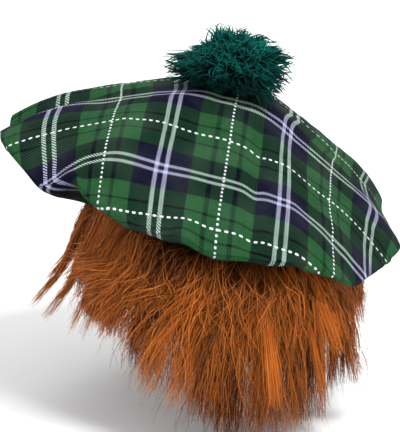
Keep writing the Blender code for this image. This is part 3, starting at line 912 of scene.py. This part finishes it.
def cloth_over(points):
    """Height of the crown's cloth over points inside its rim, and 1 m over the others. A
    table of the cloth by degree and ring gives it, straight between its rings. A few
    rounds take the creep of the cloth out of the degrees."""
    count = 24
    rings = np.linspace(0.35, 1.0, count)[:, None]
    degree = np.broadcast_to(np.arange(360.0), (count, 360))
    towards = degree
    for _ in range(4):
        towards = degree - round_table(SECTIONS, 5, towards) * np.sqrt(rings)
    table = crown_top(rings, towards)
    radii, _ = polar(table, CROWN_CENTRE)
    radius, angle = polar(points, CROWN_CENTRE)
    column = np.mod(np.rint(angle).astype(int), 360)
    ring = np.clip((radii[:, column] < radius).sum(axis=0), 1, count - 1)
    nearer, farther = radii[ring - 1, column], radii[ring, column]
    share = share_of((radius - nearer) / (farther - nearer))
    height = between(table[ring - 1, column, 2], table[ring, column, 2], share)
    return np.where(radius < radii[-1, column] + 0.001, height, 1.0)


ginger_hair, tree, shader = finish_of("ginger_hair", 0.5, specular=0.22)
shade = marked(tree, "shade")
ginger = dyed(tree, shade, dye(44, 16, 4), dye(222, 124, 44))
# Painted shade: strands are darkened towards their roots, deep in the pile under the crown's rim
root_painted_shade = spread(tree, marked(tree, "along"), 0.0, 0.6, 0.85, 0.0)
ginger = dyed(tree, root_painted_shade, ginger, dye(50, 19, 5))
tree.links.new(ginger, shader.inputs["Base Color"])
tree.links.new(spread(tree, shade, 0.0, 1.0, 0.62, 0.42), shader.inputs["Roughness"])

chance = np.random.default_rng(23)
lock_turn = (np.arange(HAIR_LOCKS) + chance.uniform(-0.4, 0.4, HAIR_LOCKS)) * (360.0 / HAIR_LOCKS)
lock_layer = chance.permutation(HAIR_LOCKS) / HAIR_LOCKS
lock_length = chance.uniform(0.90, 1.03, HAIR_LOCKS)
lock_sweep = chance.normal(0.0, 2.2, HAIR_LOCKS)
lock_out = chance.normal(0.0, 0.0028, HAIR_LOCKS)
lock_pinch = chance.uniform(0.45, 0.9, HAIR_LOCKS)
lock_shade = chance.normal(0.0, 0.19, HAIR_LOCKS)
# Broad tufts of several locks each
tuft_length = chance.uniform(0.90, 1.05, HAIR_TUFTS)
tuft_sweep = chance.normal(0.0, 2.8, HAIR_TUFTS)
tuft_out = chance.normal(0.0, 0.0030, HAIR_TUFTS)
tuft_shade = chance.normal(0.0, 0.21, HAIR_TUFTS)


def waves(count, slowest, fastest, step):
    """Two sine waves for each strand, out of step with all others."""
    start = chance.uniform(0.0, WHOLE_TURN, (count, 2, 1))
    return np.sin(start + step[:, None, :] * chance.uniform(slowest, fastest, (count, 2, 1)))


def hair_strands(low, high, count):
    """Paths of a stretch of pile. From its root on the tape a strand rises to a crest,
    runs outward by the body's bulge and the flare, falls to its own length, turns by
    the sweep, and is drawn to its lock. Waves shared by neighbours and small waves of
    its own grow towards the tip; short strands near the root lie across the others."""
    angle = chance.uniform(low, high, count)
    layer = chance.random(count) ** 0.75
    aside = np.mod(angle[:, None] - lock_turn[None, :] + 180.0, 360.0) - 180.0
    deeper = layer[:, None] - lock_layer[None, :]
    far = (aside / LOCK_REACH) ** 2 + (deeper / LOCK_DEPTH) ** 2
    lock = (far + chance.uniform(0.0, 0.8, (count, HAIR_LOCKS))).argmin(axis=1)
    aside = aside[np.arange(count), lock]
    tuft_turn = np.mod(lock_turn[lock] + TUFT_SLANT * lock_layer[lock], 360.0)
    tuft = (tuft_turn * (HAIR_TUFTS / 360.0)).astype(int)
    stray = chance.random(count) < STRAY_SHARE
    short = ~stray & (chance.random(count) < SHORT_SHARE)
    length, flare, fullness, form_sweep, form_rise, painted_light = [
        round_table(HAIR_FORM, column, angle) for column in range(1, 7)
    ]
    length = length * lock_length[lock] * tuft_length[tuft]
    length = length * (1.0 - 0.22 * chance.random(count) ** 2.6)
    length = length * np.where(stray, 1.04, 1.0)
    length = length * np.where(short, chance.uniform(0.30, 0.75, count), 1.0)
    layer = np.where(short, 1.0 + 0.25 * chance.random(count), layer)
    sweep = form_sweep + lock_sweep[lock] + tuft_sweep[tuft] + chance.normal(0.0, 1.3, count)
    sweep = sweep + np.where(stray, chance.normal(0.0, 6.0, count), 0.0)
    sweep = sweep + np.where(short, chance.normal(-2.0, 11.0, count), 0.0)
    root_share = chance.random(count) ** 0.6
    root_height = HAIR_TAPE_FOOT + (HAIR_TOP - HAIR_TAPE_FOOT) * root_share
    rise = form_rise * (0.3 + 0.7 * np.minimum(layer, 1.0)) * root_share
    tip_height = np.maximum(HAIR_TOP - HAIR_LENGTH * length, HAIR_LOWEST)
    step = HAIR_WAY
    late = ease(step)
    drawn = lock_pinch[lock][:, None] * (0.35 * step + 0.65 * step**3)
    drawn = np.where((stray | short)[:, None], 0.2 * drawn, drawn)
    turn = angle[:, None] - aside[:, None] * drawn + sweep[:, None] * (0.5 * step + 0.5 * late)
    turn = turn + chance.normal(0.0, 2.2, (count, 1)) * share_of(step - 0.70) / 0.30
    level = layer[:, None] + (lock_layer[lock] - layer)[:, None] * drawn
    bulge = HAIR_BODY_DEPTH * np.sin(math.pi * (0.02 + 0.93 * step) ** 0.62)
    flared = HAIR_FLARE * flare + np.where(short, 0.0, lock_out[lock] + tuft_out[tuft])
    flared = (flared + np.where(stray, 0.003, 0.0))[:, None] * (0.4 * step + 0.6 * late)
    out = HAIR_TAPE_WALL + bulge * level * fullness[:, None] + flared * (0.70 + 0.30 * level)
    fall = 0.2 * step + 0.8 * step**1.3
    height = root_height[:, None] + (tip_height - root_height)[:, None] * fall
    height = height + rise[:, None] * np.sin(math.pi * np.minimum(step * 2.2, 1.0))
    loose = np.where(stray, 0.0026, 0.0011)[:, None, None]
    wander = waves(count, 4.0, 12.0, step) * step[:, None, :] ** 0.8 * loose
    strand_layer = layer[:, None] + 0.0 * step
    shared, wider, lifted = [
        size * rumple(turn / wide + shift * strand_layer, height / tall + 40.0, seed)
        for size, wide, shift, tall, seed in (
            (0.0026, 5.0, 7.0, 0.024, 12),
            (0.0020, 2.2, 9.0, 0.011, 13),
            (0.0022, 3.0, 7.0, 0.016, 14),
        )
    ]
    out = np.maximum(out + wander[:, 0] + lifted * ease(step * 2.0), HAIR_TAPE_WALL * 0.5)
    sideways = wander[:, 1] + (shared + wider) * ease(step * 1.6)
    # Tone at random per strand, lock and tuft, plus painted shade: deeper layers of the pile
    # darker and outer ones lighter; plus the painted light from the form table
    shade = chance.normal(0.20, 0.25, count) + lock_shade[lock] + tuft_shade[tuft]
    shade = shade + 0.65 * (layer - 0.5) + painted_light + np.where(stray, 0.12, 0.0)
    return hair_path(turn, out, height, sideways), share_of(shade)


def loose_lock(towards, half_width, strands, reach, drop, sweep, rise, shade):
    """Paths of one long lock that stands away from the rest: outward by a power of the
    way along, up and then down, and drawn together in one or two tips."""
    step = HAIR_WAY
    aside = chance.normal(0.0, half_width * 0.5, strands)[:, None]
    length = chance.uniform(0.72, 1.0, strands)[:, None]
    turn = towards + aside * (1.0 - 0.8 * step**1.2)
    turn = turn + (sweep + chance.normal(0.0, 1.2, strands)[:, None]) * step
    stands = reach * length + chance.normal(0.0, 0.0012, strands)[:, None]
    out = HAIR_TAPE_WALL + stands * between(step, step**1.4, 0.65)
    height = HAIR_TOP - 0.002 - drop * length * between(step, step**1.5, 0.75)
    height = height + rise * np.sin(math.pi * np.minimum(step * 1.5, 1.0))
    wander = waves(strands, 3.0, 8.0, step) * step[:, None, :] * 0.0009
    paths = hair_path(turn, out + wander[:, 0], height, wander[:, 1])
    return paths, share_of(chance.normal(shade, 0.18, strands))


for name, low, high, count in HAIR_PARTS:
    bunches = [hair_strands(low, high, count)]
    bunches += [loose_lock(*row) for row in LOOSE_LOCKS if low < row[0] <= high]
    paths, strand_shade = [np.concatenate(arrays) for arrays in zip(*bunches)]
    paths[..., 2] = np.minimum(paths[..., 2], cloth_over(paths) - CLOTH_CLEAR)
    count = len(paths)
    thickness = HAIR_RADIUS * chance.uniform(0.6, 1.2, (count, 1)) * (1.0 - 0.62 * HAIR_WAY**4)
    roll = chance.uniform(0, WHOLE_TURN, count)
    points, quads, caps = strand_tubes(paths, thickness, roll, 3)
    piece = make_piece(name, points, (quads, caps), ginger_hair)
    mark(piece, "shade", np.repeat(strand_shade, HAIR_STEPS * 3))
    # Where light is painted on the pile, the painted shade at its roots is lifted too
    root = paths[:, 0]
    root_turn = np.degrees(np.arctan2(root[:, 1] / BAND_LENGTH, root[:, 0] / BAND_WIDTH))
    along = np.maximum(HAIR_WAY, 1.25 * round_table(HAIR_FORM, 6, root_turn)[:, None])
    mark(piece, "along", np.repeat(along.ravel(), 3))
    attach(piece, "root")

fur_backing, tree, shader = finish_of("fur_backing", 0.9, sheen=0.1)
fuzz = fuzzed(tree, shader, object_place(tree), 1500.0, 0.8, 0.98)
knit = dyed(tree, spread(tree, fuzz, 0.3, 0.7, 0.0, 1.0), dye(34, 14, 6), dye(84, 38, 14))
tree.links.new(knit, shader.inputs["Base Color"])
raise_by(tree, shader, fuzz, 0.0006, 0.8)

# Below the tape's foot the knit runs on inside the pile as a dark sheet towards the tips: painted
# shade for the pile's dark depth, keeping the floor from showing between strands
BACKING_COLUMNS = 352
BACKING_SECTION = (
    # along from top to foot, depth in shares of the body; down the outside and up again
    (0.0, 0.0), (0.0, 0.6), (0.1, 0.75), (0.25, 0.8), (0.45, 0.8), (0.65, 0.7),
    (0.85, 0.55), (1.0, 0.35), (0.85, 0.25), (0.6, 0.2), (0.35, 0.12), (0.16, 0.0),
)
turn = np.arange(BACKING_COLUMNS) * (2.0 * math.pi / BACKING_COLUMNS)
degrees = np.degrees(turn)
base, normal = hair_base(turn)
frayed = 0.60 + 0.06 * np.sin(70 * turn) * rumple(degrees / 9.0, 0 * degrees, 4)
foot = HAIR_TOP - HAIR_LENGTH * round_table(HAIR_FORM, 1, degrees) * frayed
backing_rings = []
for along, depth in BACKING_SECTION:
    bulge = HAIR_BODY_DEPTH * math.sin(math.pi * (0.02 + 0.6 * along) ** 0.7) * depth
    bulge = bulge * round_table(HAIR_FORM, 3, degrees)
    flared = HAIR_FLARE * round_table(HAIR_FORM, 2, degrees) * ease(0.5 * along) * 0.8
    out = (HAIR_TAPE_WALL if depth > 0 else HAIR_GAP) + bulge + flared
    ring = base + normal * out[:, None]
    ring[:, 2] = HAIR_TOP + (foot - HAIR_TOP) * along
    backing_rings.append(ring)
rings = np.arange(len(backing_rings)) * BACKING_COLUMNS
quads = ring_quads(np.roll(rings, -1), rings, BACKING_COLUMNS)
backing = make_piece("hair_tape_and_shade_sheet", np.concatenate(backing_rings), (quads,), fur_backing)
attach(backing, "root")
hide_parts("hair_fringe")


# -----------------------------------------------------------
# Floor, light and camera: a flat pale floor under soft studio light, seen as in the
# photograph, level with the front and a little from above.
FLOOR_HEIGHT = -0.1015
FLOOR_HALF = 6.0
CAMERA_DISTANCE = 1.5
CAMERA_ELEVATION = 15.0
LOOK_AT = np.array([-0.0125, 0.0, 0.015])
LIT_POINT = Vector((0.0, 0.0, 0.02))

floor_points = np.array([
    [FLOOR_HALF * x, FLOOR_HALF * y, FLOOR_HEIGHT] for x, y in ((-1, -1), (1, -1), (1, 1), (-1, 1))
])
floor_paint, tree, shader = finish_of("floor_paint", 0.9, specular=0.2)
clouds = mottle(tree, object_place(tree), 6.0, 2.0)
pale = dyed(tree, clouds, dye(244, 244, 244), dye(250, 250, 250))
tree.links.new(pale, shader.inputs["Base Color"])
floor = make_piece("floor", floor_points, (np.array([[0, 1, 2, 3]]),), floor_paint)
floor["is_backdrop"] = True

world = bpy.data.worlds.new("studio")
world.use_nodes = True
sky = world.node_tree.nodes["Background"]
sky.inputs["Color"].default_value = (1.0, 1.0, 1.0, 1.0)
sky.inputs["Strength"].default_value = 0.75
scene.world = world
scene.view_settings.view_transform = "Standard"


def soft_light(name, place, size, power):
    """Square area light turned to the middle of the hat."""
    lamp = bpy.data.lights.new(name, "AREA")
    lamp.size = size
    lamp.energy = power
    light = bpy.data.objects.new(name, lamp)
    light.location = place
    aim = LIT_POINT - light.location
    light.rotation_euler = aim.to_track_quat("-Z", "Y").to_euler()
    scene.collection.objects.link(light)


soft_light("key_light", (0.7, -1.0, 1.9), 0.7, 42.0)
soft_light("fill_light", (-1.5, -1.2, 1.1), 1.2, 8.0)
soft_light("back_light", (0.3, 1.6, 1.2), 1.0, 12.0)

rise = math.radians(CAMERA_ELEVATION)
lens = bpy.data.cameras.new("camera")
lens.sensor_fit = "VERTICAL"
lens.sensor_height = 36.0
lens.lens = 195.0
lens.clip_end = 20.0
camera = bpy.data.objects.new("camera", lens)
camera.location = LOOK_AT + CAMERA_DISTANCE * np.array([0.0, -math.cos(rise), math.sin(rise)])
camera.rotation_euler = (math.pi / 2 - rise, 0.0, 0.0)
scene.collection.objects.link(camera)
scene.camera = camera

low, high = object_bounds()
